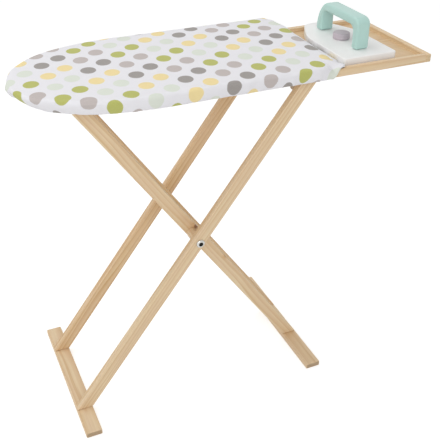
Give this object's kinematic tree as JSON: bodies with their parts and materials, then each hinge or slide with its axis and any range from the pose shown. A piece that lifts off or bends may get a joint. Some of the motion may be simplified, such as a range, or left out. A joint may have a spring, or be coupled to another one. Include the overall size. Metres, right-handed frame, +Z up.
{
  "type": "toy ironing board",
  "caption": "Toddler-size toy ironing board: padded spotted cotton top with a rounded nose, crossed folding wooden legs and a wooden toy iron resting in a railed tray.",
  "frame": {"origin": "on the floor, under the middle of the whole object", "axes": "+X along the board from the nose to the iron tray, +Y across the board from the pictured side to the far side, +Z up"},
  "size_m": [0.583, 0.26, 0.5562],
  "materials": {
    "pine": "sanded, clear matt lacquer",
    "plywood": "sanded, clear matt lacquer",
    "cotton": "plain weave, printed spots",
    "foam": "soft wadding",
    "elastic": "covered elastic cord",
    "nickel": "nickel plated",
    "steel": "zinc plated",
    "white_paint": "satin white paint",
    "mint_paint": "satin pale mint paint",
    "mauve_paint": "satin mauve-grey paint"
  },
  "bodies": {
    "board": {"base_panel": "plywood", "batten_screw_far": "steel", "batten_screw_near": "steel", "cover": "cotton", "foam_pad": "foam", "hem_elastic": "elastic", "hinge_block_far": "pine", "hinge_block_near": "pine", "hinge_screw_far_nose": "steel", "hinge_screw_far_tail": "steel", "hinge_screw_near_nose": "steel", "hinge_screw_near_tail": "steel", "rest_batten": "pine", "tray_rail_end": "pine", "tray_rail_far": "pine", "tray_rail_near": "pine"},
    "outer_frame": {"hinge_axle": "pine", "outer_foot_bar": "pine", "outer_foot_screw_far": "steel", "outer_foot_screw_near": "steel", "outer_leg_far": "pine", "outer_leg_near": "pine", "pivot_bolt_far": "nickel", "pivot_bolt_near": "nickel", "pivot_nut_far": "nickel", "pivot_nut_near": "nickel", "pivot_spacer_far": "pine", "pivot_spacer_near": "pine"},
    "inner_frame": {"inner_foot_bar": "pine", "inner_foot_screw_far": "steel", "inner_foot_screw_near": "steel", "inner_leg_far": "pine", "inner_leg_near": "pine", "top_dowel": "pine"},
    "iron": {"dial_pin": "pine", "handle_screw_heel": "steel", "handle_screw_tip": "steel", "iron_base": "white_paint", "iron_handle": "mint_paint"},
    "dial": {"dial_knob": "mauve_paint"}
  },
  "joints": [
    {"name": "outer_hinge", "type": "hinge", "parent": "board", "child": "outer_frame", "pos_m": [0.09691, 0, 0.4765], "axis": [0, 1, 0], "range_deg": [0, 46.5]},
    {"name": "inner_pivot", "type": "hinge", "parent": "outer_frame", "child": "inner_frame", "pos_m": [-0.0617, 0, 0.2627], "axis": [0, 1, 0], "range_deg": [-98, 0]},
    {"name": "iron_lift", "type": "slide", "parent": "board", "child": "iron", "axis": [0, 0, 1], "range_m": [0, 0.15]},
    {"name": "dial_turn", "type": "hinge", "parent": "iron", "child": "dial", "pos_m": [0.1969, -0.003, 0.5118], "axis": [0, 0, 1], "continuous": true}
  ],
  "couplings": [
    {"joint": "inner_pivot", "follows": "outer_hinge", "ratio": -2.1}
  ]
}
